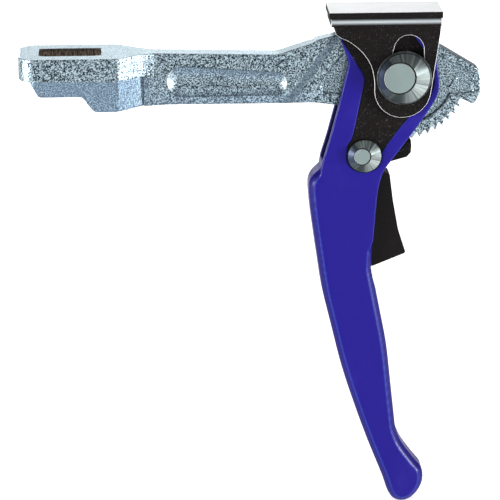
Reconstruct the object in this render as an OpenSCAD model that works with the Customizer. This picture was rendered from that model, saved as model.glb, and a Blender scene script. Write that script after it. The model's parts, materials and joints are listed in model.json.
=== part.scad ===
// Sliding arm with ratchet lever for a bar clamp or tensioner.
// Millimetres, +Z up. The origin is the centre of the bar slot, halfway along the bar's passage.
// +X runs along the arm to the head, and the near side of the tool faces -Y.
// Most head outlines are given about the pivot, as [x, z] pairs from its axis.

/* [Arm] */
// Distance from the bar slot's centre to the pivot, along the arm
pivot_x = 136.8; // [134:0.2:140]
// Height of the pivot above the slot's centre
pivot_z = 3.9; // [3:0.1:5]
// Half thickness of the beam
beam_half = 4; // [3.8:0.1:4.6]
// Half thickness of the flat head plate that the fork straddles
head_half = 3.2; // [3:0.1:3.3]
// Length of the bar slot, along the arm
slot_len = 25.4; // [24:0.2:27]
// Width of the bar slot
slot_wide = 12.2; // [11:0.2:14]
// Radius of the bar slot's corners
slot_corner = 3.6; // [2:0.1:5]

/* [Ratchet] */
// Number of teeth on the sector
teeth = 10; // [8:1:10]
// Angle from one tooth to the next
tooth_pitch = 7.2; // [7:0.1:7.4]
// Radius of the tooth tips about the pivot
tip_r = 28.5; // [28:0.1:29]
// Depth of a tooth
tooth_deep = 2.4; // [2:0.1:2.6]
// Angle of the tooth at the tail's end, from level
first_tooth = -31.1; // [-33:0.1:-30]

/* [Lever] */
// Gap across the fork, inside
fork_gap = 8.6; // [8.4:0.1:9]
// Width over the fork's cheeks
fork_wide = 14; // [13.6:0.1:14.2]
// Thickness of a steel side plate
plate_thick = 1.6; // [1.2:0.1:1.8]
// Widest thickness of the grip
grip_wide = 14; // [13:0.5:14.5]
// Rise of the saddle for a turn of one radian, the base radius of the cam
cam_base = 5; // [4:0.1:5.4]

/* [Pins] */
// Radius of the pivot pin's shank
pivot_r = 5.6; // [5:0.1:5.7]
// Radius of the pivot pin's conical head
pivot_head_r = 10.7; // [10:0.1:11]
// Radius of the flat on the pivot pin's head
pivot_flat_r = 6.3; // [5:0.1:7]
// Radius of the trigger pin's shank
trigger_r = 3; // [2.5:0.1:3.2]
// Radius of the trigger pin's conical head
trigger_head_r = 7.1; // [6:0.1:7.4]
// Radius of the flat on the trigger pin's head
trigger_flat_r = 3.3; // [3:0.1:4]

/* [Saddle] */
// Width over the saddle's cheeks
saddle_wide = 19.2; // [19:0.1:20]
// Thickness of a cheek
cheek_thick = 2.3; // [2:0.1:2.4]
// Height of the pressing face above the pivot
press_z = 27.5; // [27:0.1:28]
// Thickness of the pressing plate
press_thick = 2.7; // [2:0.1:3]
// Thickness of the saddle's bridge
bridge_thick = 3.3; // [3:0.1:3.4]

/* [Hidden] */

$fn = 64;
eps = 0.01;                     // overrun of a cut past a face
run_gap = 0.05;                 // running clearance of a shaft, radial
side_gap = 0.05;                // running clearance along the pivot
bridge_z = press_z - press_thick - bridge_thick;
cam_s = bridge_z - 0.25;        // height of the cam's contact at rest, about the pivot
open_turn = 7 * tooth_pitch;    // the lever opens by seven teeth
close_turn = 2 * tooth_pitch;   // and closes by two more
fork_in = fork_gap / 2;
fork_out = fork_wide / 2;
plate_out = fork_out - 0.3;     // the side plates sit just below the coated face
plate_in = plate_out - plate_thick;
saddle_out = saddle_wide / 2;
saddle_in = saddle_out - cheek_thick;
trigger_at = [-15.6, -34.1];    // trigger pin, about the pivot
bush_r = 7.6;                   // outside radius of the pivot bush
sleeve_r = 4.2;                 // outside radius of the trigger sleeve
washer_r = 11.3;                // washer under the pivot pin's head
washer_thick = 0.8;
washer_in = saddle_out + 0.15;
pin_base = washer_in + washer_thick;
pin_top = pin_base + 4.4;       // height of the pivot pin's flat above the middle plane
small_top = fork_out + 3.4;
pawl_half = 3.2;
pad_half = 3.9;                 // half width of the finger pad
clear_turn = 7.5;               // turn of the pawl from full mesh to its rest beside the teeth
root_r = tip_r - tooth_deep;
wire_r = 0.55;
coil_r = 5;

// ---- outlines ----

function unit(v) = v / norm(v);
function polar(r, a) = [r * cos(a), r * sin(a)];
function arc(c, r, a0, a1, n = 12) = [for (i = [0:n]) c + polar(r, a0 + (a1 - a0) * i / n)];

// Corner b of a polygon, rounded to radius r
function corner(a, b, c, r, n = 7) =
  r <= 0 ? [b] :
  let (u = unit(a - b), w = unit(c - b), half = acos(u * w) / 2)
  let (m = b + unit(u + w) * r / sin(half), p = b + u * r / tan(half) - m, q = b + w * r / tan(half) - m)
  let (a0 = atan2(p.y, p.x), turn = atan2(q.y, q.x) - a0)
  let (t = turn > 180 ? turn - 360 : turn < -180 ? turn + 360 : turn)
  [for (i = [0:n]) m + polar(r, a0 + t * i / n)];

// Polygon from [x, z, radius] corners
function rounded(p) =
  let (n = len(p))
  [for (i = [0:n - 1])
    each corner([p[(i + n - 1) % n].x, p[(i + n - 1) % n].y], [p[i].x, p[i].y],
      [p[(i + 1) % n].x, p[(i + 1) % n].y], p[i][2])];

// Smooth open curve through points
function blend4(a, b, c, d, t) =
  0.5 * (2 * b + (c - a) * t + (2 * a - 5 * b + 4 * c - d) * t * t + (3 * b - a - 3 * c + d) * t * t * t);
function curve(p, n = 4) =
  let (m = len(p) - 1)
  concat([for (i = [0:m - 1], k = [0:n - 1])
    blend4(p[max(i - 1, 0)], p[i], p[i + 1], p[min(i + 2, m)], k / n)], [p[m]]);

// ---- helpers ----

// Slab with an x-z outline, from y0 to y1
module slab(outline, y0, y1) {
  translate([0, y1, 0])
    rotate([90, 0, 0])
      linear_extrude(y1 - y0)
        polygon(outline);
}

// Straight cylinder along Y, at an x-z place, from y0 to y1
module rod(at, r, y0, y1) {
  translate([at.x, y1, at.y])
    rotate([90, 0, 0])
      cylinder(r = r, h = y1 - y0);
}

module at_pivot() {
  translate([pivot_x, 0, pivot_z])
    children();
}

// Mirrors its children to the back for side = 1
module facing(side) {
  if (side > 0)
    mirror([0, 1, 0])
      children();
  else
    children();
}

// Turned head at a place: a short rim, then a cone whose flat stands off centre
module pin_head(at, head_r, flat_r, base, top, shift) {
  rim = 0.7;
  hull() {
    rod(at, head_r, -base - rim, -base);
    rod(at + shift, flat_r, -top, -top + 0.3);
  }
}

// ---- cast arm ----

// Bar end seen from above: round corners, then a hollow sweep into the beam
end_side = concat(
  [[-21.3, 0]],
  arc([-13.8, -5], 7.5, 180, 265, 8),
  [[17, -12.5]],
  curve([[19.5, -12.2], [24, -9.3], [28.5, -6], [34, -4]])
);
function inset_side(p, d) = [for (q = p) [q.x + (q.x < 0 ? d : 0), min(0, q.y + d)]];
function whole(p) = concat(p, [for (i = [len(p) - 1:-1:1]) [p[i].x, -p[i].y]]);

low_step_half = 8.7;

// Side view of the arm from the bar end to the pivot plate
function arm_outline() = rounded([
  [-21.3, 4.4, 1], [-16.7, 3.6, 1], [-13.2, -2.7, 1.5], [4.5, -2.7, 3], [9.5, -9, 3], [18, -9, 6],
  [40, -7.8, 20], [107, -8.1, 0], [122, -9.5, 6], [126, -16, 4], [134, -17, 0],
  [150, 6, 0], [140, 17.5, 6], [109.3, 20.6, 1], [100.9, 17.9, 4], [85, 12.8, 8], [30, 14.2, 20], [-21.3, 14.2, 1]
]);

// Dish of the scoop: share of its full radius, at each depth below the beam's face
scoop_layers = [[1.1, -0.4], [0.98, 0.1], [0.83, 0.8], [0.66, 1.45], [0.46, 1.95], [0.24, 2.2]];

// Section of the beam: widest at the parting line, drafted above and below
draft = 0.3;
beam_section = [
  [-beam_half, 3.2], [-beam_half + draft, 17], [beam_half - draft, 17],
  [beam_half, 3.2], [beam_half - draft, -12], [-beam_half + draft, -12]
];

// Head plate with the tail; the toothed arc is added to it
tail_outline = [
  [-36, 14.6, 0], [-27.6, 16.6, 2], [-24, 12, 6], [15.3, 11.6, 4],
  [32.3, 1.2, 4], [32.6, -8.6, 2.5], [30.2, -13.8, 1.2], [24.8, -11.2, 1.5], [20, -12, 0],
  [-4, -24, 0], [-13, -15, 4], [-36, -12, 0]
];

// Ratchet arc: the left flank of each tooth is near radial, the right one slopes
function tooth_points(k) =
  let (a = first_tooth - tooth_pitch * k)
  [polar(root_r, a + 6.3 * tooth_pitch / 7.2), polar(tip_r, a + 0.25), polar(tip_r, a - 0.25), polar(root_r, a - 0.7)];
ratchet_outline = concat(
  [for (k = [0:teeth - 1]) each tooth_points(k)],
  [polar(21, first_tooth - tooth_pitch * teeth), polar(12, -70), polar(21, first_tooth + 6)]
);

relief = 0.9;                   // depth of the sunk panels in the head plate
ring_r = 21.8;                  // inside radius of the toothed ring
panel_outline = concat(
  [[6, 8.4], [14.6, 7.8], [18, 6], [24.8, 2.3], [28.6, -0.4], [29.8, -2.6], [29.4, -8.4], [27.6, -8.8]],
  arc([0, 0], ring_r, -24.4, -80, 14),
  [[-2, -12]]
);

module cast_arm() color("#9aa3ab") difference() {
  union() {
    intersection() {
      slab(arm_outline(), -13, 13);
      union() {
        translate([0, 0, 4.7]) linear_extrude(20) polygon(whole(end_side));
        translate([0, 0, -10]) linear_extrude(14.7 + eps) polygon(whole(inset_side(end_side, 2.6)));
        translate([30, 0, 0])
          rotate([90, 0, 90])
            linear_extrude(80)
              polygon(beam_section);
        translate([90, -head_half, -25]) cube([40, 2 * head_half, 60]);
      }
    }
    at_pivot() {
      slab(rounded(tail_outline), -head_half, head_half);
      slab(ratchet_outline, -head_half, head_half);
    }
  }
  // slope from the beam down to the head plate
  for (s = [-1, 1])
    scale([1, s, 1])
      hull() {
        slab([[107.3, 20], [85.2, -10], [125, -10], [125, 22]], beam_half, 9);
        slab([[110, 20], [91.4, -10], [125, -10], [125, 22]], head_half, 9);
      }
  // the low step under the bar slot is set back from the rest
  for (s = [-1, 1])
    scale([1, s, 1])
      slab(rounded([[-30, 4, 0], [-1.5, 4, 3], [5.5, -0.6, 3], [8, -5, 0], [-30, -5, 0]]), low_step_half, 20);
  // bar slot
  translate([0, 0, -20])
    linear_extrude(60)
      polygon(rounded([for (s = [[-1, -1], [1, -1], [1, 1], [-1, 1]])
        [s.x * slot_len / 2, s.y * slot_wide / 2, slot_corner]]));
  // tapered scoop in each face of the beam
  for (s = [-1, 1])
    scale([1, s, 1])
      hull()
        for (end = [[45.8, 2.1, 6.4], [84.1, 0.6, 4.9]])
          for (layer = scoop_layers)
            rod([end.x, end.y], end.z * layer[0], beam_half - layer[1], beam_half + 0.8, $fn = 40);
  at_pivot() {
    rod([0, 0], bush_r, -20, 20);
    // shallow pocket beside the fork
    for (s = [-1, 1])
      scale([1, s, 1])
        slab(rounded([[-25, 8.5, 0], [-34.5, -3.6, 3], [-32.5, -8, 2.5], [-20, -8.4, 0], [-14, 8.5, 0]]),
          head_half - relief, head_half + 1);
    // sunk panel of the tail, inside its rim and the toothed ring
    for (s = [-1, 1])
      scale([1, s, 1])
        difference() {
          slab(panel_outline, head_half - relief, head_half + 1);
          rod([0, 0], 12, 0, 10);
          slab([[22.3, -2.4], [22.9, -2.8], [20.1, -7], [19.5, -6.6]], 0, head_half - relief / 2);
        }
  }
}

module pivot_bush() color("#b08d57") at_pivot() difference() {
  rod([0, 0], bush_r, -head_half, head_half);
  rod([0, 0], pivot_r + run_gap, -20, 20);
}

module thrust_washer() color("#8c8f93") at_pivot() difference() {
  rod([0, 0], 11, -fork_in + side_gap, -head_half);
  rod([0, 0], pivot_r + run_gap, -20, 20);
}
module thrust_washer_front() facing(-1) thrust_washer();
module thrust_washer_back() facing(1) thrust_washer();

// ---- lever ----

// Cam face: the involute of the base circle, which lifts the bridge evenly with the turn
function cam_point(turn) =
  let (s = cam_s + cam_base * turn * PI / 180)
  [-cam_base * cos(turn) - s * sin(turn), -cam_base * sin(turn) + s * cos(turn)];
function cam_face(n = 16) =
  [for (i = [0:n]) cam_point(close_turn + 3 - (close_turn + open_turn + 6) * i / n)];

head_left = [
  [-26, 15.4], [-23, 7.5], [-22.6, 5], [-24.6, -4], [-27.4, -16], [-30.2, -27], [-33, -36.5]
];
head_right = [
  [14.6, 1.5], [15, -6.5], [12.3, -12.8], [4.8, -24.1], [-3.5, -35.5], [-7.4, -41.2], [-9.3, -48], [-10.2, -56],
  [-11.3, -72]
];
grip_left = [
  [-36.6, -42.5], [-38.5, -46.5], [-38, -56], [-36.4, -68], [-34.6, -80], [-32.4, -94], [-28.8, -109], [-24.2, -127.5],
  [-18.7, -145], [-12.3, -163], [-5.8, -179.5]
];
grip_end = [[-3.4, -186.6], [-0.8, -190.6], [2.8, -192], [6.6, -190.9], [9.9, -187.6], [12, -182.6]];
grip_right = [
  [11.6, -177], [8.3, -172.6], [2.9, -165], [0, -158], [-1, -151],
  [-2.8, -135.6], [-4.8, -118.8], [-7.7, -103.8], [-11.6, -84.5]
];

function fork_outline() = concat(
  cam_face(),
  curve(concat([[13, 8.6]], head_right), 3),
  [[-13, -76], [-30, -76], [-34, -62], [-34.6, -46]],
  [for (i = [len(head_left) - 1:-1:0]) head_left[i]]
);
function grip_outline() = concat(
  curve(concat(grip_left, grip_end, grip_right), 3),
  [[-10.4, -56], [-9.6, -49], [-31, -41], [-33.6, -39.6]]
);
// Steel side plate, seen in the fork's pocket
plate_edge = -24;                // the plate's share of the cam ends here, and the fork carries the rest
function plate_outline() = concat(
  [for (i = [0:10]) cam_point(close_turn + 3 - (close_turn + 3 - plate_edge) * i / 10)],
  curve([[4.7, 16.1], [8.4, 10.7], [12.4, 3], [12.8, -4], [10.4, -9.8], [2.4, -18], [-3.5, -25.6], [-8.6, -33]], 3),
  arc(trigger_at, 7.4, 0, -180, 10),
  curve([[-22.4, -29], [-20.4, -25.2], [-17.2, -9], [-16, -2.8], [-16.3, 0.6], [-19, 5]], 3),
  [[-25.2, 14.9]]
);

// Chamfer of the grip: inset of the outline, and share of the full thickness
grip_layers = [[0, 0.62], [0.4, 0.72], [0.9, 0.81], [1.5, 0.89], [2.1, 0.95], [2.7, 1]];

// Channel inside the grip, open towards the trigger's finger pad
channel_outline = [
  [-28, -30, 0], [-33.8, -46, 3], [-30.4, -80, 6], [-27, -92, 5], [-6, -92, 0], [10, -30, 0]
];

module handle_grip() color("#32269a") at_pivot() difference() {
  union() {
    slab(fork_outline(), -fork_out, fork_out);
    for (layer = grip_layers)
      translate([0, grip_wide / 2 * layer[1], 0])
        rotate([90, 0, 0])
          linear_extrude(grip_wide * layer[1])
            offset(delta = -layer[0])
              polygon(grip_outline());
  }
  // gap of the fork, open at the left above the web
  slab([[-60, 60], [60, 60], [60, -60], [-9, -60], [-30, -38], [-60, -30]], -fork_in, fork_in);
  slab(rounded(channel_outline), -fork_in, fork_in);
  // pockets for the side plates
  for (s = [-1, 1])
    scale([1, s, 1])
      union() {
        slab(plate_outline(), plate_in, 20);
        slab([[-25.2, 14.9], cam_point(close_turn + 3), [-13, 30], [-40, 30]], plate_in, 20);
      }
  rod([0, 0], pivot_r, -20, 20);
  rod(trigger_at, trigger_r, -20, 20);
}

module lever_plate() color("#1e1b1c") at_pivot() difference() {
  slab(plate_outline(), -plate_out, -plate_in);
  rod([0, 0], pivot_r, -20, 20);
  rod(trigger_at, trigger_r, -20, 20);
}
module lever_plate_front() facing(-1) lever_plate();
module lever_plate_back() facing(1) lever_plate();

// ---- pins ----

module pivot_pin() color("#8d9a96") at_pivot() {
  rod([0, 0], pivot_r, -pin_base - 0.5, pin_base + 1.5);
  pin_head([0, 0], pivot_head_r, pivot_flat_r, pin_base, pin_top, [-2.4, 1]);
}

module pivot_collar_back() color("#8d9a96") facing(1) at_pivot() difference() {
  pin_head([0, 0], pivot_head_r, pivot_flat_r, pin_base, pin_top, [-2.4, 1]);
  rod([0, 0], pivot_r, -pin_base - 1.5, 20);
}

module pivot_washer() color("#a7aaac") at_pivot() difference() {
  rod([0, 0], washer_r, -pin_base, -washer_in);
  rod([0, 0], pivot_r, -20, 20);
}
module pivot_washer_front() facing(-1) pivot_washer();
module pivot_washer_back() facing(1) pivot_washer();

module trigger_pin() color("#8d9a96") at_pivot() {
  rod(trigger_at, trigger_r, -fork_out - 0.5, fork_out + 1.5);
  pin_head(trigger_at, trigger_head_r, trigger_flat_r, fork_out, small_top, [-1.3, 0.5]);
}

module trigger_collar_back() color("#8d9a96") facing(1) at_pivot() difference() {
  pin_head(trigger_at, trigger_head_r, trigger_flat_r, fork_out, small_top, [-1.3, 0.5]);
  rod(trigger_at, trigger_r, -fork_out - 1.5, 20);
}

module trigger_sleeve() color("#b9bcc0") at_pivot() difference() {
  rod(trigger_at, sleeve_r, -fork_in, fork_in);
  rod(trigger_at, trigger_r, -20, 20);
}

// Torsion spring: three close turns about the sleeve, one leg on the grip's web, one on the pawl
module trigger_spring() color("#c2c5c8") at_pivot() translate([trigger_at.x, 0, trigger_at.y]) {
  for (k = [-1:1])
    translate([0, k * 1.05, 0])
      rotate([90, 0, 0])
        rotate_extrude($fn = 32)
          translate([coil_r, 0])
            circle(r = wire_r, $fn = 16);
  translate([-coil_r, 1.05, 0])
    rotate([0, 180 + 31, 0])
      cylinder(r = wire_r, h = 19, $fn = 16);
  translate([coil_r, -1.05, 0])
    rotate([0, 180, 0])
      cylinder(r = wire_r, h = 9, $fn = 16);
}

// ---- pawl and trigger, drawn in full mesh and turned back to rest ----

module pawl_rest() {
  at_pivot()
    translate([trigger_at.x, 0, trigger_at.y])
      rotate([0, clear_turn, 0])
        translate([-trigger_at.x, 0, -trigger_at.y])
          children();
}

mesh_tooth = first_tooth - 7 * tooth_pitch;   // the tooth that the pawl holds at rest
function pawl_outline() = concat(
  [polar(root_r + 0.5, mesh_tooth - 1.3), polar(tip_r + 0.6, mesh_tooth - 0.9)],
  [[4, -31.5], [2.6, -33.6], [-4, -36.4], [-7.8, -40], [-8, -50], [-8.4, -62], [-14, -62]],
  [[-15.5, -50], [-17, -41]],
  arc(trigger_at, 7, -100, -250, 8),
  [[-10.5, -29.2], [-3.4, -30.2], polar(tip_r + 0.4, mesh_tooth - 8)]
);
function pad_outline() = rounded([
  [-8.6, -42.2, 0.8], [-4.6, -42.8, 1.2], [-3, -54.6, 30], [-0.6, -67.6, 30], [2.8, -78, 1], [-11.4, -83.8, 1.5],
  [-18.6, -80, 2], [-21.4, -62, 3], [-20.6, -43.4, 2]
]);
rivet_places = [[-11.6, -47.5], [-11.2, -57]];

module ratchet_pawl() color("#1e1b1c") pawl_rest() difference() {
  slab(pawl_outline(), -pawl_half, pawl_half);
  rod(trigger_at, sleeve_r + run_gap, -20, 20);
  rod(trigger_at, coil_r + wire_r + 0.6, -1.9, 1.9);
  // way out for the spring's legs
  slab([[-30, -36], [-15, -28], [-6.6, -32], [-8.6, -46.2], [-14, -46.2], [-26, -50]], -1.9, 1.9);
  for (p = rivet_places)
    rod(p, 1.2, -20, 20);
}

module release_trigger() color("#232021") difference() {
  at_pivot()
    slab(pad_outline(), -pad_half, pad_half);
  pawl_rest() {
    slab(pawl_outline(), -pawl_half, pawl_half);
    slab([[-20, -30], [-8, -30], [-8.2, -46.2], [-16, -50]], -1.9, 1.9);
    for (p = rivet_places)
      rod(p, 1.2, -20, 20);
  }
}

module pawl_rivets() color("#3a3838") pawl_rest()
  for (p = rivet_places)
    rod(p, 1.2, -pad_half, pad_half);

// ---- saddle ----

function cheek_outline() = concat(
  [[-30.2, bridge_z + bridge_thick], [-29, 20.6]],
  curve([[-28.2, 18.4], [-26.2, 17], [-22.5, 15.2], [-17.6, 11.1], [-13.8, 5.5], [-12.2, -1], [-12.1, -5.4]], 3),
  arc([-0.4, -5.4], 11.7, 180, 352, 16),
  [[14.8, 19], [15.2, bridge_z + bridge_thick]]
);

module pressure_saddle() color("#1f1c1d") at_pivot() difference() {
  union() {
    for (s = [-1, 1])
      scale([1, s, 1])
        slab(cheek_outline(), saddle_in, saddle_out);
    translate([-30.2, -saddle_out, bridge_z]) cube([45.4, 2 * saddle_out, bridge_thick]);
  }
  // slot that rides over the pivot pin: narrow above, wider round the pin
  hull() {
    rod([1.9, 11.7], 6.2, -20, 20);
    rod([0.6, -1.6], 8, -20, 20);
  }
  // rounded bends
  for (s = [-1, 1])
    scale([1, s, 1])
      translate([-40, saddle_out - 2.6, bridge_z + bridge_thick - 2.6])
        rotate([0, 90, 0])
          linear_extrude(70)
            difference() {
              translate([-4, 0]) square([4, 4]);
              circle(r = 2.6);
            }
}

module pressure_plate() color("#c9ccce") at_pivot()
  translate([-31, -saddle_out, press_z - press_thick])
    cube([46.6, 2 * saddle_out, press_thick]);

cast_arm();
pivot_bush();
thrust_washer_front();
thrust_washer_back();
handle_grip();
lever_plate_front();
lever_plate_back();
pivot_pin();
pivot_collar_back();
pivot_washer_front();
pivot_washer_back();
trigger_pin();
trigger_collar_back();
trigger_sleeve();
trigger_spring();
ratchet_pawl();
release_trigger();
pawl_rivets();
pressure_saddle();
pressure_plate();
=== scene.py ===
"""Looks of a ratchet-lever sliding arm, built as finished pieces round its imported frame."""

import json
import math

import bmesh
import bpy
from bpy.props import FloatProperty, FloatVectorProperty, IntProperty, PointerProperty
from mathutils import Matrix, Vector


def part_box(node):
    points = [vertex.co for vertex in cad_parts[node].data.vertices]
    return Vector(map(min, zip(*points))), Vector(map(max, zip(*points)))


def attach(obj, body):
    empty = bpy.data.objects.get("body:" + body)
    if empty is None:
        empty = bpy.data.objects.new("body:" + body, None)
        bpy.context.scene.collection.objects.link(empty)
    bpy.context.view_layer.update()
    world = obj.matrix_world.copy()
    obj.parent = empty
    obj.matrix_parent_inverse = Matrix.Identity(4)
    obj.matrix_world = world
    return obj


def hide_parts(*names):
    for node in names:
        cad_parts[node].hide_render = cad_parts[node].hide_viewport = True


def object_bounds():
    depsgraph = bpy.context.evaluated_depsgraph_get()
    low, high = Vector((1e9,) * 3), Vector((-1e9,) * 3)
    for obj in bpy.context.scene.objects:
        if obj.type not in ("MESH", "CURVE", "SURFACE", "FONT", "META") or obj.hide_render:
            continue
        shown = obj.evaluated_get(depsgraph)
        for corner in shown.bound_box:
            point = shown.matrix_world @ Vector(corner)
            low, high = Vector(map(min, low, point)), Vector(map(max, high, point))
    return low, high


bl_info = {
    "name": "Ratchet Lever Arm",
    "version": (1, 0, 0),
    "blender": (4, 5, 0),
    "location": "View3D > Sidebar > Lever Arm",
    "description": "Builds the cast arm, coated lever, saddle and turned pins of a ratchet lever arm",
    "category": "Object",
}

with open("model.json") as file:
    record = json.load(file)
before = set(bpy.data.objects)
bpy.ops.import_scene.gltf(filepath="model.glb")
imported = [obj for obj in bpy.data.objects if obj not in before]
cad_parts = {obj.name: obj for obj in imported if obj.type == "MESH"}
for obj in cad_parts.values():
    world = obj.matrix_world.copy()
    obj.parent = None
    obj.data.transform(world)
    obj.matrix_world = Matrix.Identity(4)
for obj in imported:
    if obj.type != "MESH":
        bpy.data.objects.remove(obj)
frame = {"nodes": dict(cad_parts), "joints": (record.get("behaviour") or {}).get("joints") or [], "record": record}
CAD_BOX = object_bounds()
MM = 0.001
BODY_OF = {
    node: body
    for body, nodes in frame["record"]["behaviour"]["bodies"].items()
    for node in nodes
}
SLOT_OF = {row["node"]: row["material_slot"] for row in frame["record"]["subparts"]}


def joint_place(name):
    """Where a hinge's axis crosses the middle plane."""
    return Vector(next(j["pos_m"] for j in frame["joints"] if j["name"] == name))


SADDLE_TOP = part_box("pressure_saddle")[1].z
PIVOT = joint_place("lever_turn")
TRIGGER = joint_place("trigger_turn")

# where finishes, painted shade and painted highlights change on the casting, the fork and the saddle
SLOT_HALF = (12.9 * MM, 6.3 * MM)   # the bar slot's half length and half width, with room for the skin
SLOPE_X = 92.3 * MM                 # the painted-shade sloped band's near edge, carried down to z = 0
SLOPE_RUN = 0.737                   # its run in x for each metre of rise
FORK_INSIDE = 4.6 * MM              # the fork's inner walls are nearer the middle plane than this
SCOOP = ((45.8 * MM, 2.1 * MM, 6.4 * MM), (84.1 * MM, 0.6 * MM, 4.9 * MM))  # x, z and radius of its ends
BEND_Z = (SADDLE_TOP - 2.6 * MM, SADDLE_TOP)    # height of the saddle's rounded bends

# widths of rounded edges
THIN_EDGE = 0.15 * MM
CUT_EDGE = 0.25 * MM
RIVET_EDGE = 0.3 * MM
PAD_EDGE = 0.6 * MM

# mesh work
WELD = 0.002 * MM                   # points nearer than this are one
FLAT_BEND = math.radians(0.6)       # faces that bend less than this are one flat face
SHARP_EDGE = math.radians(28)       # edges that bend more than this are rounded
SHARP_TURN = math.radians(24)       # edges of turned parts that bend more than this stay crisp
LATHE_SIDES = 96
COIL_STEPS = 28                     # points in a turn of the spring

# kind, pin, back collar, axis, radius of shank and of flat, the flat's shift in x and z, depth of head
PINS = (
    ("pivot", "pivot_pin", "pivot_collar_back", PIVOT,
     5.6 * MM, 6.3 * MM, (-2.4 * MM, 1 * MM), 4.4 * MM),
    ("trigger", "trigger_pin", "trigger_collar_back", TRIGGER,
     3 * MM, 3.3 * MM, (-1.3 * MM, 0.5 * MM), 3.4 * MM),
)

# lamp, place from the object's middle, width, power
LAMPS = (
    ("key", (0.1, -0.95, 0.85), 0.5, 3.5),
    ("left", (-1.0, -0.45, 0.05), 0.3, 16),
    ("right", (1.0, -0.5, 0.05), 0.3, 16),
    ("back", (0.1, 1.2, 0.75), 0.8, 4),
    ("rim", (-0.55, 1.1, 0.42), 0.5, 5),
)
WORLD_LIGHT = 0.22
FLOOR_HALF = 6.0
FLOOR_DROP = 0.5 * MM       # gap under the lever's end
CAMERA_AT = (0.014, -1.056, 0.28655)
CAMERA_TO = (0.07394, 0, -0.073)
LENS_MM = 190.4


# ---- shader sums ----


class Value:
    """A number from a shader socket, which can be used in Python sums."""

    def __init__(self, look, socket):
        self.look = look
        self.socket = socket

    def math(self, operation, *values):
        node = self.look.add("ShaderNodeMath", {"operation": operation}, dict(enumerate(values)))
        return Value(self.look, node.outputs[0])

    def __add__(self, other):
        return self.math("ADD", self, other)

    def __sub__(self, other):
        return self.math("SUBTRACT", self, other)

    def __rsub__(self, other):
        return self.math("SUBTRACT", other, self)

    def __mul__(self, other):
        return self.math("MULTIPLY", self, other)

    def __truediv__(self, other):
        return self.math("DIVIDE", self, other)

    def __pow__(self, other):
        return self.math("POWER", self, other)

    __radd__ = __add__
    __rmul__ = __mul__

    def sine(self):
        return self.math("SINE", self)

    def between(self, low, high):
        """0 at low, 1 at high, and a smooth step between them."""
        settings = {"interpolation_type": "SMOOTHSTEP"}
        inputs = {"Value": self, "From Min": low, "From Max": high}
        node = self.look.add("ShaderNodeMapRange", settings, inputs)
        return Value(self.look, node.outputs["Result"])


class Look:
    """A material and the nodes that make its finish."""

    def __init__(self, name):
        self.material = bpy.data.materials.new(name)
        self.material.use_nodes = True
        self.tree = self.material.node_tree
        self.shader = next(n for n in self.tree.nodes if n.type == "BSDF_PRINCIPLED")
        self.place = self.add("ShaderNodeTexCoord").outputs["Object"]

    def add(self, kind, settings=None, inputs=None):
        node = self.tree.nodes.new(kind)
        for key, value in (settings or {}).items():
            setattr(node, key, value)
        for key, value in (inputs or {}).items():
            self.feed(node.inputs[key], value)
        return node

    def feed(self, socket, value):
        if isinstance(value, Value):
            value = value.socket
        if isinstance(value, bpy.types.NodeSocket):
            self.tree.links.new(value, socket)
        elif socket.type == "RGBA" and len(value) == 3:
            socket.default_value = (*value, 1)
        else:
            socket.default_value = value

    def noise(self, size, detail=2, place=None, rough=0.5):
        """Noise whose lumps are about size metres across."""
        place = place or self.place
        inputs = {"Vector": place, "Scale": 1 / size, "Detail": detail, "Roughness": rough}
        return Value(self, self.add("ShaderNodeTexNoise", None, inputs).outputs[0])

    def stretched(self, scale):
        """The object's own coordinates, scaled apart on each axis."""
        node = self.add("ShaderNodeVectorMath", {"operation": "MULTIPLY"}, {0: self.place, 1: scale})
        return node.outputs["Vector"]

    def axis_parts(self, centre):
        """Distance from a Y axis through centre, and the angle round it."""
        inputs = {0: self.place, 1: centre}
        shifted = self.add("ShaderNodeVectorMath", {"operation": "SUBTRACT"}, inputs)
        parts = self.add("ShaderNodeSeparateXYZ", None, {0: shifted.outputs["Vector"]})
        x = Value(self, parts.outputs["X"])
        z = Value(self, parts.outputs["Z"])
        return (x * x + z * z) ** 0.5, x.math("ARCTAN2", z, x)

    def facing(self):
        """How far the surface faces to either side along Y, and how far up: 1 when square on."""
        normal = self.add("ShaderNodeNewGeometry").outputs["Normal"]
        parts = self.add("ShaderNodeSeparateXYZ", None, {0: normal})
        side = Value(self, parts.outputs["Y"])
        return side.math("ABSOLUTE", side), Value(self, parts.outputs["Z"])

    def along_and_up(self):
        """The object's own X and Z, metres."""
        parts = self.add("ShaderNodeSeparateXYZ", None, {0: self.place})
        return Value(self, parts.outputs["X"]), Value(self, parts.outputs["Z"])

    def scoop_parts(self, along, height):
        """Place in the scoop, in shares of its radius: past an end's centre, up, and out to the rim."""
        (first_x, first_z, first_r), (last_x, last_z, last_r) = SCOOP
        t = (along - first_x) / (last_x - first_x)
        t = t.math("MINIMUM", t.math("MAXIMUM", t, 0), 1)
        radius = t * (last_r - first_r) + first_r
        x = along - (t * (last_x - first_x) + first_x)
        z = height - (t * (last_z - first_z) + first_z)
        return x.math("ABSOLUTE", x) / radius, z / radius, (x * x + z * z) ** 0.5 / radius

    def mix(self, amount, one, other):
        node = self.add("ShaderNodeMix", {"data_type": "RGBA"}, {0: amount, 6: one, 7: other})
        return node.outputs[2]

    def bump(self, height, depth, strength):
        inputs = {"Height": height, "Distance": depth, "Strength": strength}
        return self.add("ShaderNodeBump", None, inputs).outputs["Normal"]

    def shade(self, **sockets):
        for name, value in sockets.items():
            self.feed(self.shader.inputs[name.replace("_", " ").title().replace("Ior", "IOR")], value)
        return self.material


# ---- finishes ----


def shade_of(colour, times, plus=0):
    """A colour made lighter or darker."""
    return tuple(min(1, c * times + plus) for c in colour)


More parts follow.
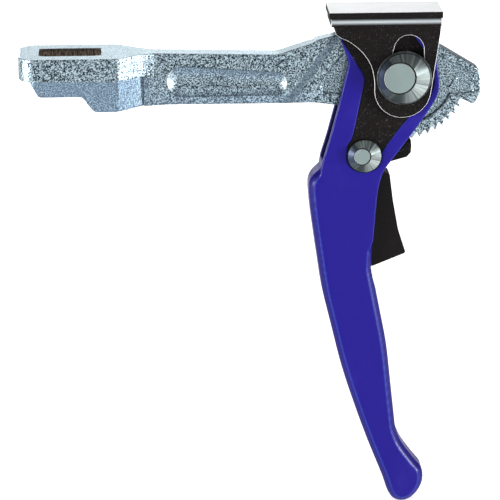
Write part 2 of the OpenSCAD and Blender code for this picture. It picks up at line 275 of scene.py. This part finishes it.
def cast_zinc():
    """Shot-blasted casting: bright and dark grains, painted highlights on faces turned up, and a smoother skin
    below and in the scoop, tinted with painted bluish shade and reflection.

    Across it run a sloped band of painted shade and a painted shade line round the scoop's rim, and the scoop's
    ends carry painted highlights.
    """
    look = Look("cast_zinc")
    paint = bpy.context.scene.arm_colours
    grain = look.noise(0.58 * MM, 2, rough=0.7)
    fine = look.noise(0.28 * MM, 1)
    cloud = look.noise(14 * MM, 3)
    speck = (grain * 0.65 + fine * 0.35).between(0.445, 0.6)
    # painted highlight: faces turned up are lightened towards the light zinc colour
    top = look.facing()[1].between(0.8, 0.95)
    dark = look.mix(cloud, paint.zinc_dark, shade_of(paint.zinc_dark, 1.25))
    colour = look.mix(speck + top * 0.5, dark, paint.zinc_light)
    along, height = look.along_and_up()
    # painted shade and bluish reflection, gathered in low, on the lower part, under the head and in the scoop's
    # upper hollow; the change of roughness and metal there is real
    below = height.between(4.6 * MM, 3.2 * MM) * along.between(46 * MM, 20 * MM)
    skirt = height.between(0, -5 * MM) * along.between(110 * MM, 90 * MM) * 0.6
    # painted shade: a sloped band across the head, darkened towards a dark blue
    across = along - height * SLOPE_RUN
    near, far = SLOPE_X + 1.2 * MM, SLOPE_X + 3.6 * MM
    slope = across.between(SLOPE_X, near) * across.between(SLOPE_X + 6.4 * MM, far)
    end, rise, rim = look.scoop_parts(along, height)
    inside = rim.between(1.03, 0.97)
    hollow = inside * rise.between(-0.2, 0.8) * 0.75
    # painted highlight on the scoop's end walls, lighter and less metallic
    painted_glint = inside * end.between(0.45, 0.95)
    # painted shade: a thin dark line round the scoop's rim
    outline = rim.between(0.9, 0.98) * rim.between(1.09, 1.01) * 0.55
    # painted shade colour of the lower faces and the scoop's hollow
    smooth = look.mix(speck, shade_of(paint.zinc_blue_shade, 0.6), shade_of(paint.zinc_blue_shade, 2))
    low = below.math("MAXIMUM", below, skirt)
    low = low.math("MAXIMUM", low, hollow)
    body = look.mix(low * 0.85, colour, smooth)
    body = look.mix(slope * 0.7, body, shade_of(paint.zinc_blue_shade, 0.5))
    body = look.mix(outline, body, paint.zinc_dark)
    return look.shade(
        base_color=look.mix(painted_glint * (0.3 + speck * 0.6), body, (0.62, 0.7, 0.75)),
        metallic=0.9 - low * 0.2 - painted_glint * 0.5,
        roughness=0.22 + grain * 0.16 + low * 0.26 + painted_glint * 0.2,
        normal=look.bump(grain + fine * 0.5, 0.3 * MM, 0.45),
    )


def slot_wall():
    """Inside of the bar slot: brownish and dull, dark at its lip."""
    look = Look("slot_wall")
    line = look.noise(0.45 * MM, 2, look.stretched((1, 1, 0.3)))
    height = look.along_and_up()[1]
    lip = height.between(12.4 * MM, 13.6 * MM)
    wall = look.mix(line.between(0.35, 0.65), (0.06, 0.043, 0.032), (0.3, 0.235, 0.18))
    return look.shade(
        base_color=look.mix(lip * 0.7, wall, (0.012, 0.01, 0.009)),
        metallic=0.4,
        roughness=0.6,
        normal=look.bump(line, 0.1 * MM, 0.6),
    )


def blue_coating():
    """Baked coating: slight orange peel, a few paler rubs, painted shade on faces turned aside, and a thin painted
    highlight line along their edge.
    """
    look = Look("blue_coating")
    paint = bpy.context.scene.arm_colours
    peel = look.noise(2.2 * MM, 2)
    rub = look.noise(24 * MM, 4, rough=0.6).between(0.5, 0.8)
    side = look.facing()[0]
    # painted highlight: a thin pale line where the surface starts to turn aside
    painted_edge_highlight = side.between(0.97, 0.92) * side.between(0.78, 0.88) * (0.1 + peel * 0.5)
    # painted shade: faces turned aside from the front are darkened
    edge = side.between(0.96, 0.6) * 0.45
    colour = look.mix(rub * 0.35, paint.blue, shade_of(paint.blue, 1.3, 0.012))
    colour = look.mix(edge, colour, shade_of(paint.blue, 0.35))
    return look.shade(
        base_color=look.mix(painted_edge_highlight, colour, paint.blue_edge_highlight),
        roughness=0.42 + rub * 0.1,
        specular_ior_level=0.1,
        coat_weight=0.08,
        coat_roughness=0.15,
        normal=look.bump(peel, 0.05 * MM, 0.4),
    )


def fork_inside_shade():
    """Painted shade: the coating inside the fork, made dark and dull."""
    look = Look("fork_inside_shade")
    paint = bpy.context.scene.arm_colours
    shade_mottle = look.noise(3 * MM, 3)
    return look.shade(
        base_color=look.mix(shade_mottle, shade_of(paint.blue, 0.12), shade_of(paint.blue, 0.3)),
        roughness=0.6 + shade_mottle * 0.15,
        specular_ior_level=0.1,
    )


def black_oxide():
    """Blackened steel whose grain catches the light in fine specks."""
    look = Look("black_oxide")
    paint = bpy.context.scene.arm_colours
    grain = look.noise(0.5 * MM, 3, rough=0.75)
    speck = grain.between(0.6, 0.76)
    cloud = look.noise(11 * MM, 2)
    base = look.mix(cloud, paint.black, shade_of(paint.black, 1.8))
    return look.shade(
        base_color=look.mix(speck * 0.8, base, (0.16, 0.155, 0.16)),
        roughness=0.5 + cloud * 0.14,
        specular_ior_level=0.05,
        normal=look.bump(grain, 0.12 * MM, 0.5),
    )


def black_plastic():
    """Moulded black plastic with a fine spark-eroded grain."""
    look = Look("black_plastic")
    paint = bpy.context.scene.arm_colours
    grain = look.noise(0.5 * MM, 2)
    scuff = look.noise(9 * MM, 4).between(0.5, 0.85)
    return look.shade(
        base_color=look.mix(scuff, paint.black, shade_of(paint.black, 2.2)),
        roughness=0.5 + scuff * 0.12,
        specular_ior_level=0.08,
        normal=look.bump(grain, 0.12 * MM, 0.5),
    )


def worn_edge_and_highlight():
    """Bright line along edges: partly rubbed bare steel, partly a painted highlight."""
    look = Look("worn_edge_and_highlight")
    rub = look.noise(4 * MM, 3).between(0.25, 0.5)
    return look.shade(
        base_color=look.mix(rub, (0.75, 0.8, 0.84), (0.98, 1, 1)),
        metallic=0.6,
        roughness=0.34,
    )


def worn_bend_and_highlight():
    """Bright band along the saddle's bends, fading into the black: a painted highlight, partly rubbed wear."""
    look = Look("worn_bend_and_highlight")
    paint = bpy.context.scene.arm_colours
    height = look.along_and_up()[1]
    grain = look.noise(0.6 * MM, 3, rough=0.7)
    scratch = look.noise(2.5 * MM, 3, look.stretched((0.05, 1, 1)))
    top = BEND_Z[1]
    # painted highlight band on the bend, with rubbed scratches and grain
    band = height.between(BEND_Z[0], BEND_Z[0] + 2 * MM) * height.between(top, top - 1.6 * MM)
    rub = band * (0.7 + scratch * 0.4) * (0.7 + grain * 0.4)
    return look.shade(
        base_color=look.mix(rub, paint.black, (0.74, 0.82, 0.86)),
        metallic=rub * 0.4,
        roughness=0.4 + grain * 0.15,
        specular_ior_level=0.2,
        normal=look.bump(grain, 0.06 * MM, 0.4),
    )


def turned_cone(name, centre):
    """Lathe-turned cone: fine rings, light and dark rays painted as its streaky reflection, a painted highlight on
    one side, and painted shade with a dark blue reflection on the other.
    """
    look = Look(name)
    paint = bpy.context.scene.arm_colours
    radius, angle = look.axis_parts(centre)
    turn = {"X": angle.sine(), "Y": (angle + math.pi / 2).sine()}
    around = look.add("ShaderNodeCombineXYZ", None, turn)
    # painted reflection: broad and fine radial rays stand for the turned cone's streaky reflection
    broad = look.noise(0.75, 1, around.outputs["Vector"]).between(0.36, 0.62)
    ray = look.noise(0.16, 3, around.outputs["Vector"], 0.6).between(0.36, 0.64)
    # painted highlight on one side of the cone
    painted_gleam = (angle + 0.72).math("COSINE", angle + 0.72).between(0.7, 0.97)
    rings = (radius * (2 * math.pi / (0.28 * MM))).sine()
    tone = broad * (0.06 + ray * 0.26) + painted_gleam * (0.1 + ray * 0.7)
    colour = look.mix(tone, paint.pin_dark, paint.pin_highlight)
    # painted shade and a painted dark blue reflection of the lever on the cone's left side
    left = (0 - angle.math("COSINE", angle)).between(0.55, 1.0)
    return look.shade(
        base_color=look.mix(left * 0.75, colour, (0.022, 0.036, 0.08)),
        metallic=0.6,
        roughness=0.28 + ray * 0.14,
        normal=look.bump(rings, 0.015 * MM, 0.5),
    )


def turned_flat():
    """Faced end of a pin: dull grey-green and finely grained."""
    look = Look("turned_flat")
    paint = bpy.context.scene.arm_colours
    grain = look.noise(0.5 * MM, 3)
    cloud = look.noise(7 * MM, 2)
    return look.shade(
        base_color=look.mix(cloud * 0.5 + grain * 0.4, paint.pin_flat, shade_of(paint.pin_flat, 1.45)),
        metallic=0.55,
        roughness=0.42 + grain * 0.1,
        normal=look.bump(grain, 0.02 * MM, 0.5),
    )


def ground_steel():
    """Bright ground face with its fine lines along the arm."""
    look = Look("ground_steel")
    line = look.noise(0.6 * MM, 3, look.stretched((0.06, 1, 1)))
    stain = look.noise(9 * MM, 3).between(0.45, 0.8)
    colour = look.mix(line, (0.66, 0.68, 0.69), (0.9, 0.91, 0.92))
    return look.shade(
        base_color=look.mix(stain * 0.3, colour, (0.6, 0.62, 0.63)),
        metallic=0.55,
        roughness=0.4 + line * 0.15,
        normal=look.bump(line, 0.03 * MM, 0.5),
    )


def plated_steel(name="plated_steel", dull=(0.46, 0.48, 0.5), bright=(0.68, 0.7, 0.71)):
    """Zinc-plated small part."""
    look = Look(name)
    patch = look.noise(4 * MM, 3).between(0.3, 0.75)
    grain = look.noise(0.4 * MM, 2)
    return look.shade(
        base_color=look.mix(patch, dull, bright),
        metallic=0.9,
        roughness=0.28 + grain * 0.16,
        normal=look.bump(grain, 0.03 * MM, 0.4),
    )


def sintered_bronze():
    """Porous bearing bronze."""
    look = Look("sintered_bronze")
    pore = look.noise(0.4 * MM, 2).between(0.35, 0.6)
    return look.shade(
        base_color=look.mix(pore, (0.24, 0.14, 0.07), (0.6, 0.42, 0.22)),
        metallic=0.8,
        roughness=0.5 - pore * 0.12,
        normal=look.bump(pore, 0.05 * MM, 0.5),
    )


def studio_floor():
    """Matt white floor, which glows a little so that it stays white under the lamps."""
    look = Look("studio_floor")
    shade = look.noise(0.9, 2)
    return look.shade(
        base_color=look.mix(shade, (0.93, 0.93, 0.93), (0.96, 0.96, 0.96)),
        roughness=0.9,
        emission_color=(1, 1, 1),
        emission_strength=0.55,
    )


FINISHES = {
    "cast_zinc": cast_zinc,
    "blue_coating": blue_coating,
    "black_steel": black_oxide,
    "black_plastic": black_plastic,
    "bare_steel": ground_steel,
    "zinc_steel": plated_steel,
    # darker plated finish for the pivot washers
    "dark_plated_washer": lambda: plated_steel("dark_plated_washer", (0.025, 0.03, 0.032), (0.1, 0.115, 0.12)),
    "bronze": sintered_bronze,
    "worn_edge_and_highlight": worn_edge_and_highlight,
    "fork_inside_shade": fork_inside_shade,
    "worn_bend_and_highlight": worn_bend_and_highlight,
    "slot_wall": slot_wall,
    "turned_flat": turned_flat,
    "pivot_cone": lambda: turned_cone("pivot_cone", PIVOT),
    "trigger_cone": lambda: turned_cone("trigger_cone", TRIGGER),
    "studio_floor": studio_floor,
}
made_finishes = {}


def finish_named(name):
    if name not in made_finishes:
        made_finishes[name] = FINISHES[name]()
    return made_finishes[name]


# ---- mesh work ----


def new_piece(name, mesh):
    obj = bpy.data.objects.new(name, mesh)
    bpy.context.scene.collection.objects.link(obj)
    return obj


def node_copy(node, *finishes):
    """A welded copy of a node's mesh, with its flat faces made whole, ready in its finishes."""
    mesh = frame["nodes"][node].data.copy()
    mesh.materials.clear()
    work = bmesh.new()
    work.from_mesh(mesh)
    bmesh.ops.remove_doubles(work, verts=work.verts, dist=WELD)
    bmesh.ops.dissolve_limit(
        work, angle_limit=FLAT_BEND, verts=work.verts, edges=work.edges, delimit={"NORMAL"}
    )
    work.to_mesh(mesh)
    work.free()
    mesh.name = node + "_form"
    for finish in finishes or (SLOT_OF[node],):
        mesh.materials.append(finish_named(finish))
    return new_piece(node + "_form", mesh)


def settle(obj):
    """Applies the object's modifiers to its mesh."""
    graph = bpy.context.evaluated_depsgraph_get()
    mesh = bpy.data.meshes.new_from_object(obj.evaluated_get(graph))
    obj.modifiers.clear()
    old = obj.data
    obj.data = mesh
    bpy.data.meshes.remove(old)


def soften(obj, voxel, rounds):
    """Turns a hard solid into a casting: an even skin whose edges are rounded over."""
    skin = obj.modifiers.new("skin", "REMESH")
    skin.mode = "VOXEL"
    skin.voxel_size = voxel
    skin.adaptivity = 0
    smooth = obj.modifiers.new("smooth", "SMOOTH")
    smooth.iterations = rounds
    smooth.factor = 0.5
    settle(obj)
    obj.data.polygons.foreach_set("use_smooth", [True] * len(obj.data.polygons))


def chamfer(obj, width, steps=2, edge_slot=-1):
    """Rounds the sharp edges. An edge_slot other than -1 gives the rounding that finish of the object's."""
    rounded = obj.modifiers.new("edge", "BEVEL")
    rounded.width = width
    rounded.segments = steps
    rounded.limit_method = "ANGLE"
    rounded.angle_limit = SHARP_EDGE
    rounded.miter_outer = "MITER_ARC"
    rounded.use_clamp_overlap = True
    rounded.material = edge_slot
    rounded.harden_normals = True
    settle(obj)


def paint_faces(obj, slot, chosen):
    """Gives one of the object's finishes to the faces for which chosen(face) is true."""
    for face in obj.data.polygons:
        if chosen(face):
            face.material_index = slot


def place(obj, node):
    """Names a finished piece after its node, gives it its body, and hides the node's own mesh."""
    obj.name = node + "_finished"
    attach(obj, BODY_OF[node])
    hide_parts(node)


def turned(name, centre, rings, finishes):
    """Lathe work about a Y axis. A ring is radius, y, shift in x, shift in z, and its band's finish."""
    work = bmesh.new()
    rows = []
    for radius, y, shift_x, shift_z, _ in rings:
        row = []
        for k in range(LATHE_SIDES):
            a = 2 * math.pi * k / LATHE_SIDES
            x = centre.x + shift_x + radius * math.cos(a)
            row.append(work.verts.new((x, y, centre.z + shift_z + radius * math.sin(a))))
        rows.append(row)
    for one, other, ring in zip(rows, rows[1:], rings[1:]):
        for k in range(LATHE_SIDES):
            work.faces.new((one[k], one[k - 1], other[k - 1], other[k])).material_index = ring[-1]
    work.faces.new(rows[0])
    work.faces.new(rows[-1][::-1]).material_index = rings[-1][-1]
    bmesh.ops.recalc_face_normals(work, faces=work.faces)
    mesh = bpy.data.meshes.new(name)
    work.to_mesh(mesh)
    work.free()
    for finish in finishes:
        mesh.materials.append(finish_named(finish))
    obj = new_piece(name, mesh)
    mesh.polygons.foreach_set("use_smooth", [True] * len(mesh.polygons))
    mesh.set_sharp_from_angle(angle=SHARP_TURN)
    return obj


def tube(name, points, radius, finish):
    """Round wire along points."""
    line = bpy.data.curves.new(name, "CURVE")
    line.dimensions = "3D"
    line.bevel_depth = radius
    line.bevel_resolution = 3
    line.use_fill_caps = True
    spline = line.splines.new("POLY")
    spline.points.add(len(points) - 1)
    for point, where in zip(spline.points, points):
        point.co = (*where, 1)
    obj = new_piece(name, line)
    graph = bpy.context.evaluated_depsgraph_get()
    mesh = bpy.data.meshes.new_from_object(obj.evaluated_get(graph))
    bpy.data.objects.remove(obj)
    mesh.polygons.foreach_set("use_smooth", [True] * len(mesh.polygons))
    mesh.materials.append(finish_named(finish))
    return new_piece(name, mesh)


# ---- user settings ----


class ARM_colours(bpy.types.PropertyGroup):
    """Colours of the tool's finishes."""

    zinc_dark: FloatVectorProperty(
        name="Zinc, dark", description="Hollows of the cast grain", subtype="COLOR", size=3,
        default=(0.008, 0.018, 0.026), min=0, max=1,
    )
    zinc_light: FloatVectorProperty(
        name="Zinc, light", description="Tips of the cast grain", subtype="COLOR", size=3,
        default=(0.48, 0.61, 0.68), min=0, max=1,
    )
    # colour of the casting's painted bluish shade and reflection
    zinc_blue_shade: FloatVectorProperty(
        name="Zinc, below", description="Smoother cast faces below", subtype="COLOR", size=3,
        default=(0.1, 0.15, 0.205), min=0, max=1,
    )
    blue: FloatVectorProperty(
        name="Coating", description="Colour of the lever's coating", subtype="COLOR", size=3,
        default=(0.0065, 0.0025, 0.14), min=0, max=1,
    )
    # colour of the painted highlight line along the lever's edges
    blue_edge_highlight: FloatVectorProperty(
        name="Coating, edge", description="Paler line along the lever's edges", subtype="COLOR", size=3,
        default=(0.03, 0.07, 0.36), min=0, max=1,
    )
    black: FloatVectorProperty(
        name="Black", description="Colour of blackened steel and plastic", subtype="COLOR", size=3,
        default=(0.0035, 0.0028, 0.0028), min=0, max=1,
    )
    pin_dark: FloatVectorProperty(
        name="Pin, dark", description="Dark rays of the turned pins", subtype="COLOR", size=3,
        default=(0.02, 0.029, 0.029), min=0, max=1,
    )
    # light colour of the pins' painted rays and highlight
    pin_highlight: FloatVectorProperty(
        name="Pin, light", description="Light rays of the turned pins", subtype="COLOR", size=3,
        default=(0.33, 0.38, 0.37), min=0, max=1,
    )
    pin_flat: FloatVectorProperty(
        name="Pin, flat", description="Faced ends of the pins", subtype="COLOR", size=3,
        default=(0.135, 0.175, 0.172), min=0, max=1,
    )


class ARM_sizes(bpy.types.PropertyGroup):
    """Sizes of the finishing work."""

    cast_voxel: FloatProperty(
        name="Casting skin", description="Spacing of the casting's skin", unit="LENGTH",
        default=0.3 * MM, min=0.25 * MM, max=1.2 * MM,
    )
    cast_rounds: IntProperty(
        name="Casting smoothing", description="Smoothing rounds of the casting",
        default=3, min=0, max=30,
    )
    grip_voxel: FloatProperty(
        name="Grip skin", description="Spacing of the grip's skin", unit="LENGTH",
        default=0.45 * MM, min=0.3 * MM, max=1.2 * MM,
    )
    grip_rounds: IntProperty(
        name="Grip smoothing", description="Smoothing rounds of the grip", default=5, min=0, max=40,
    )
    edge: FloatProperty(
        name="Edge", description="Width of the rubbed edges on black steel", unit="LENGTH",
        default=0.6 * MM, min=0.05 * MM, max=0.8 * MM,
    )
    wire_turns: IntProperty(
        name="Spring turns", description="Turns of the trigger spring", default=3, min=2, max=4,
    )


# ---- operators ----


class ARM_OT_casting(bpy.types.Operator):
    """Make the cast arm"""

    bl_idname = "arm.casting"
    bl_label = "Cast arm"

    def execute(self, context):
        sizes = context.scene.arm_sizes
        arm = node_copy("cast_arm", "cast_zinc", "slot_wall")
        soften(arm, sizes.cast_voxel, sizes.cast_rounds)
        paint_faces(arm, 0, lambda face: True)
        paint_faces(arm, 1, self.in_slot)
        place(arm, "cast_arm")
        return {"FINISHED"}

    @staticmethod
    def in_slot(face):
        """True on the walls of the bar slot."""
        return abs(face.center.x) < SLOT_HALF[0] and abs(face.center.y) < SLOT_HALF[1]


class ARM_OT_grip(bpy.types.Operator):
    """Make the coated lever"""

    bl_idname = "arm.grip"
    bl_label = "Coated lever"

    def execute(self, context):
        sizes = context.scene.arm_sizes
        grip = node_copy("handle_grip", "blue_coating", "fork_inside_shade")
        soften(grip, sizes.grip_voxel, sizes.grip_rounds)
        paint_faces(grip, 0, lambda face: True)
        # the fork's inner walls get the painted shade
        paint_faces(grip, 1, self.in_fork)
        place(grip, "handle_grip")
        return {"FINISHED"}

    @staticmethod
    def in_fork(face):
        """True on the walls inside the fork, which face the middle plane."""
        return abs(face.center.y) < FORK_INSIDE and abs(face.normal.y) > 0.6


class ARM_OT_side_plates(bpy.types.Operator):
    """Make the lever's steel side plates"""

    bl_idname = "arm.side_plates"
    bl_label = "Side plates"

    def execute(self, context):
        for node in ("lever_plate_front", "lever_plate_back"):
            plate = node_copy(node)
            chamfer(plate, THIN_EDGE)
            place(plate, node)
        return {"FINISHED"}


class ARM_OT_saddle(bpy.types.Operator):
    """Make the saddle and its pressing plate"""

    bl_idname = "arm.saddle"
    bl_label = "Saddle"

    def execute(self, context):
        saddle = node_copy("pressure_saddle", "black_steel", "worn_edge_and_highlight", "worn_bend_and_highlight")
        # the saddle's rounded edges get the rubbed, partly painted highlight line
        chamfer(saddle, context.scene.arm_sizes.edge, edge_slot=1)
        # the bends get the painted highlight band
        paint_faces(saddle, 2, self.on_bend)
        place(saddle, "pressure_saddle")
        plate = node_copy("pressure_plate", "bare_steel", "black_steel")
        chamfer(plate, CUT_EDGE)
        paint_faces(plate, 1, lambda face: face.normal.z < 0.5)
        place(plate, "pressure_plate")
        return {"FINISHED"}

    @staticmethod
    def on_bend(face):
        """True on the long rounded bends under the pressing plate."""
        return face.center.z > BEND_Z[0] and abs(face.normal.x) < 0.3 and face.normal.z > -0.05


class ARM_OT_pins(bpy.types.Operator):
    """Turn the pivot and trigger pins and their back collars"""

    bl_idname = "arm.pins"
    bl_label = "Pins"

    def execute(self, context):
        for kind, pin, collar, centre, shank, flat, shift, depth in PINS:
            finishes = (kind + "_cone", "worn_edge_and_highlight", "turned_flat", "black_steel")
            self.head(pin, centre, shank, flat, shift, depth, finishes, False)
            self.head(collar, centre, shank, flat, shift, depth, finishes, True)
        return {"FINISHED"}

    @staticmethod
    def head(node, centre, shank, flat, shift, depth, finishes, back):
        """One pin or collar: shank, short rim, cone and an off-centre flat inside a dark line; the black rim and
        dark line are painted shade.
        """
        cone, edge, face, dark = range(len(finishes))
        low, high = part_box(node)
        turn = 1 if back else -1
        radius = (high.x - low.x) / 2
        outer = high.y if back else -low.y
        inner = outer - depth
        cap = 0.15 * MM     # rounding of each corner
        rim = 0.7 * MM      # height of the straight rim
        rings = [] if back else [
            (shank - cap, -high.y, 0, 0, cone),
            (shank, cap - high.y, 0, 0, cone),
            (shank, inner, 0, 0, cone),
        ]
        rings += [
            (radius - cap, inner, 0, 0, cone),
            # painted shade: black bands on the rim
            (radius, inner + cap, 0, 0, dark),
            (radius, inner + rim - cap, 0, 0, dark),
        ]
        for t in (0, 0.25, 0.5, 0.75, 0.88, 1):
            y = inner + rim + (outer - 2 * cap - inner - rim) * t
            # painted shade: the first and last cone bands are black, the last a dark line round the flat
            finish = dark if t in (0, 1) else cone
            across = radius - cap + (flat + cap - radius) * t
            rings.append((across, y, shift[0] * t, shift[1] * t, finish))
        # a rubbed ring, partly a painted highlight, round the flat's edge
        rings += [(flat - 0.5 * cap, outer, *shift, edge), (flat - cap, outer, *shift, face)]
        rings = [(r, turn * y, shift_x, shift_z, finish) for r, y, shift_x, shift_z, finish in rings]
        place(turned(node + "_turned", centre, rings, finishes), node)


class ARM_OT_small_rings(bpy.types.Operator):
    """Make the washers, the bush and the sleeve"""

    bl_idname = "arm.small_rings"
    bl_label = "Washers and bushes"

    def execute(self, context):
        # washers that take the darker plated finish
        dark_washers = ("pivot_washer_front", "pivot_washer_back")
        plain = ("thrust_washer_front", "thrust_washer_back", "pivot_bush", "trigger_sleeve")
        for node in dark_washers + plain:
            ring = node_copy(node, "dark_plated_washer" if node in dark_washers else SLOT_OF[node])
            chamfer(ring, THIN_EDGE)
            place(ring, node)
        return {"FINISHED"}


class ARM_OT_trigger(bpy.types.Operator):
    """Make the finger pad, the pawl and their rivets"""

    bl_idname = "arm.trigger"
    bl_label = "Trigger and pawl"

    def execute(self, context):
        for node, width, steps in (
            ("release_trigger", PAD_EDGE, 3),
            ("ratchet_pawl", CUT_EDGE, 2),
            ("pawl_rivets", RIVET_EDGE, 3),
        ):
            piece = node_copy(node)
            chamfer(piece, width, steps)
            place(piece, node)
        return {"FINISHED"}


class ARM_OT_spring(bpy.types.Operator):
    """Wind the trigger spring"""

    bl_idname = "arm.spring"
    bl_label = "Trigger spring"

    def execute(self, context):
        turns = context.scene.arm_sizes.wire_turns
        wire, coil = 0.5 * MM, 5 * MM
        low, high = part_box("trigger_spring")
        side = high.y - wire * 1.1
        count = int((turns + 0.5) * COIL_STEPS) - COIL_STEPS
        points = [Vector((low.x + wire, side, low.z + wire))]
        for k in range(count + 1):
            a = math.pi - 2 * math.pi * k / COIL_STEPS
            y = side - 2 * side * k / count
            points.append(Vector((TRIGGER.x + coil * math.cos(a), y, TRIGGER.z + coil * math.sin(a))))
        leg, lean = 9 * MM, 1.2 * MM    # the lean keeps the leg clear of the pawl as the trigger turns
        points.append(Vector((TRIGGER.x + coil - lean, -side, TRIGGER.z - leg)))
        place(tube("trigger_spring_wire", points, wire, "zinc_steel"), "trigger_spring")
        return {"FINISHED"}


class ARM_OT_stage(bpy.types.Operator):
    """Set the floor, the lights and the camera"""

    bl_idname = "arm.stage"
    bl_label = "Stage"

    def execute(self, context):
        scene = context.scene
        mesh = bpy.data.meshes.new("floor")
        drop = CAD_BOX[0].z - FLOOR_DROP
        square = ((-1, -1), (1, -1), (1, 1), (-1, 1))
        corners = [(x * FLOOR_HALF, y * FLOOR_HALF, drop) for x, y in square]
        mesh.from_pydata(corners, [], [(0, 1, 2, 3)])
        floor = new_piece("floor", mesh)
        mesh.materials.append(finish_named("studio_floor"))
        world = bpy.data.worlds.new("studio")
        world.use_nodes = True
        background = world.node_tree.nodes["Background"]
        background.inputs["Color"].default_value = (1, 1, 1, 1)
        background.inputs["Strength"].default_value = WORLD_LIGHT
        scene.world = world
        scene.view_settings.view_transform = "Standard"
        middle = (CAD_BOX[0] + CAD_BOX[1]) / 2
        for name, offset, size, power in LAMPS:
            self.lamp(name, middle + Vector(offset), middle, size, power)
        self.camera(scene)
        return {"FINISHED"}

    @staticmethod
    def lamp(name, where, target, size, power):
        light = bpy.data.lights.new(name, "AREA")
        light.shape = "DISK"
        light.size = size
        light.energy = power
        obj = new_piece(name, light)
        obj.location = where
        obj.rotation_euler = (target - where).to_track_quat("-Z", "Y").to_euler()

    @staticmethod
    def camera(scene):
        lens = bpy.data.cameras.new("camera")
        lens.sensor_width = 36
        lens.lens = LENS_MM
        lens.clip_start = 0.05
        lens.clip_end = 30
        obj = new_piece("camera", lens)
        obj.location = CAMERA_AT
        obj.rotation_euler = (Vector(CAMERA_TO) - obj.location).to_track_quat("-Z", "Y").to_euler()
        scene.camera = obj


class ARM_PT_panel(bpy.types.Panel):
    """Sidebar panel of the ratchet lever arm"""

    bl_idname = "ARM_PT_panel"
    bl_label = "Ratchet Lever Arm"
    bl_space_type = "VIEW_3D"
    bl_region_type = "UI"
    bl_category = "Lever Arm"

    def draw(self, context):
        for group in (context.scene.arm_sizes, context.scene.arm_colours):
            for name in group.__annotations__:
                self.layout.prop(group, name)
        for operator in OPERATORS:
            self.layout.operator(operator.bl_idname)


OPERATORS = (
    ARM_OT_stage,
    ARM_OT_casting,
    ARM_OT_grip,
    ARM_OT_side_plates,
    ARM_OT_saddle,
    ARM_OT_pins,
    ARM_OT_small_rings,
    ARM_OT_trigger,
    ARM_OT_spring,
)
CLASSES = (ARM_colours, ARM_sizes, *OPERATORS, ARM_PT_panel)


def register():
    for item in CLASSES:
        bpy.utils.register_class(item)
    bpy.types.Scene.arm_colours = PointerProperty(type=ARM_colours)
    bpy.types.Scene.arm_sizes = PointerProperty(type=ARM_sizes)


def unregister():
    del bpy.types.Scene.arm_sizes
    del bpy.types.Scene.arm_colours
    for item in reversed(CLASSES):
        bpy.utils.unregister_class(item)


def main():
    register()
    for operator in OPERATORS:
        group, name = operator.bl_idname.split(".")
        getattr(getattr(bpy.ops, group), name)()


if __name__ == "__main__":
    main()
